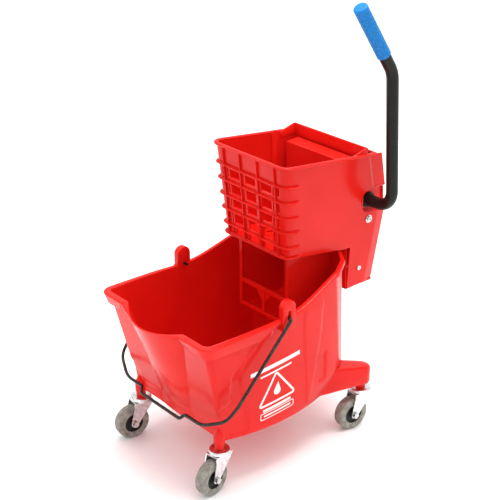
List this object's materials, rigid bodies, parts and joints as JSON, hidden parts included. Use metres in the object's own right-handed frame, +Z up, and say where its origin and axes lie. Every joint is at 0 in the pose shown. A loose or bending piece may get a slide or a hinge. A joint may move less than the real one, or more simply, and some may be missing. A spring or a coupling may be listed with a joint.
{
  "type": "mop bucket with side-press wringer",
  "caption": "Rolling mop bucket with pouring front, wire bail and swivel casters, and a lift-off side-press wringer worked by a cranked handle.",
  "frame": {"origin": "on the floor under the centre of the object's box", "axes": "+Z up, -Y towards the pouring front, +X towards the side the wringer handle is on"},
  "size_m": [0.382, 0.59, 0.9695],
  "materials": {
    "tub_plastic": "moulded polypropylene, semi-gloss",
    "wringer_plastic": "moulded polypropylene, semi-gloss",
    "press_plastic": "moulded polypropylene, semi-gloss",
    "tyre": "grey non-marking rubber",
    "wheel_hub": "black moulded nylon",
    "zinc_plate": "bright zinc-plated pressed steel",
    "zinc_bolt": "bright zinc-plated steel",
    "bail_steel": "dark coated steel wire",
    "handle_steel": "black powder-coated steel tube",
    "grip_rubber": "textured blue vinyl",
    "crank_steel": "zinc-plated steel plate",
    "nylon": "natural nylon",
    "spring_steel": "spring steel wire",
    "black_plastic": "black moulded plastic"
  },
  "bodies": {
    "tub": {"tub": "tub_plastic", "front_left_stem": "zinc_bolt", "front_left_raceway": "zinc_plate", "front_right_stem": "zinc_bolt", "front_right_raceway": "zinc_plate", "rear_left_stem": "zinc_bolt", "rear_left_raceway": "zinc_plate", "rear_right_stem": "zinc_bolt", "rear_right_raceway": "zinc_plate"},
    "bail": {"bail_wire": "bail_steel"},
    "front_left_fork": {"front_left_fork": "zinc_plate", "front_left_axle_bolt": "zinc_bolt"},
    "front_left_wheel": {"front_left_hub": "wheel_hub", "front_left_tyre": "tyre"},
    "front_right_fork": {"front_right_fork": "zinc_plate", "front_right_axle_bolt": "zinc_bolt"},
    "front_right_wheel": {"front_right_hub": "wheel_hub", "front_right_tyre": "tyre"},
    "rear_left_fork": {"rear_left_fork": "zinc_plate", "rear_left_axle_bolt": "zinc_bolt"},
    "rear_left_wheel": {"rear_left_hub": "wheel_hub", "rear_left_tyre": "tyre"},
    "rear_right_fork": {"rear_right_fork": "zinc_plate", "rear_right_axle_bolt": "zinc_bolt"},
    "rear_right_wheel": {"rear_right_hub": "wheel_hub", "rear_right_tyre": "tyre"},
    "wringer": {"wringer_body": "wringer_plastic", "rear_cover": "wringer_plastic", "plate_pivot_pins": "zinc_bolt", "shaft_bush_left": "nylon", "shaft_bush_right": "nylon", "return_spring": "spring_steel", "clamp_washers": "zinc_bolt", "clamp_screws": "zinc_bolt", "cover_screws": "zinc_bolt"},
    "handle": {"handle_tube": "handle_steel", "handle_grip": "grip_rubber", "crank_left": "crank_steel", "crank_right": "crank_steel", "crank_roller_left": "nylon", "crank_roller_right": "nylon", "crank_set_screws": "zinc_bolt", "shaft_end_cap": "black_plastic"},
    "press": {"press_plate": "press_plastic"}
  },
  "joints": [
    {"name": "front_left_swivel", "type": "hinge", "parent": "tub", "child": "front_left_fork", "pos_m": [-0.1374, -0.2037, 0.088], "axis": [0, 0, 1], "continuous": true},
    {"name": "front_left_roll", "type": "hinge", "parent": "front_left_fork", "child": "front_left_wheel", "pos_m": [-0.14095, -0.22895, 0.0381], "axis": [0.9903, -0.1392, 0], "continuous": true},
    {"name": "front_right_swivel", "type": "hinge", "parent": "tub", "child": "front_right_fork", "pos_m": [0.1374, -0.2037, 0.088], "axis": [0, 0, 1], "continuous": true},
    {"name": "front_right_roll", "type": "hinge", "parent": "front_right_fork", "child": "front_right_wheel", "pos_m": [0.14095, -0.22895, 0.0381], "axis": [0.9903, 0.1392, 0], "continuous": true},
    {"name": "rear_left_swivel", "type": "hinge", "parent": "tub", "child": "rear_left_fork", "pos_m": [-0.1502, 0.1917, 0.088], "axis": [0, 0, 1], "continuous": true},
    {"name": "rear_left_roll", "type": "hinge", "parent": "rear_left_fork", "child": "rear_left_wheel", "pos_m": [-0.1502, 0.1662, 0.0381], "axis": [1, 0, 0], "continuous": true},
    {"name": "rear_right_swivel", "type": "hinge", "parent": "tub", "child": "rear_right_fork", "pos_m": [0.1502, 0.1917, 0.088], "axis": [0, 0, 1], "continuous": true},
    {"name": "rear_right_roll", "type": "hinge", "parent": "rear_right_fork", "child": "rear_right_wheel", "pos_m": [0.14709, 0.16639, 0.0381], "axis": [0.9925, -0.1219, 0], "continuous": true},
    {"name": "bail_swing", "type": "hinge", "parent": "tub", "child": "bail", "pos_m": [0, -0.054, 0.362], "axis": [-1, 0, 0], "range_deg": [0, 136]},
    {"name": "wringer_lift", "type": "slide", "parent": "tub", "child": "wringer", "axis": [0, 0, 1], "range_m": [0, 0.2]},
    {"name": "handle_swing", "type": "hinge", "parent": "wringer", "child": "handle", "pos_m": [0, 0.242, 0.518], "axis": [1, 0, 0], "range_deg": [0, 60], "stiffness_Nm_per_rad": 1.2, "springref_deg": -57.3},
    {"name": "press_swing", "type": "hinge", "parent": "wringer", "child": "press", "pos_m": [0, 0.179, 0.455], "axis": [1, 0, 0], "range_deg": [0, 24]}
  ],
  "couplings": [
    {"joint": "press_swing", "follows": "handle_swing", "ratio": 0.4}
  ]
}
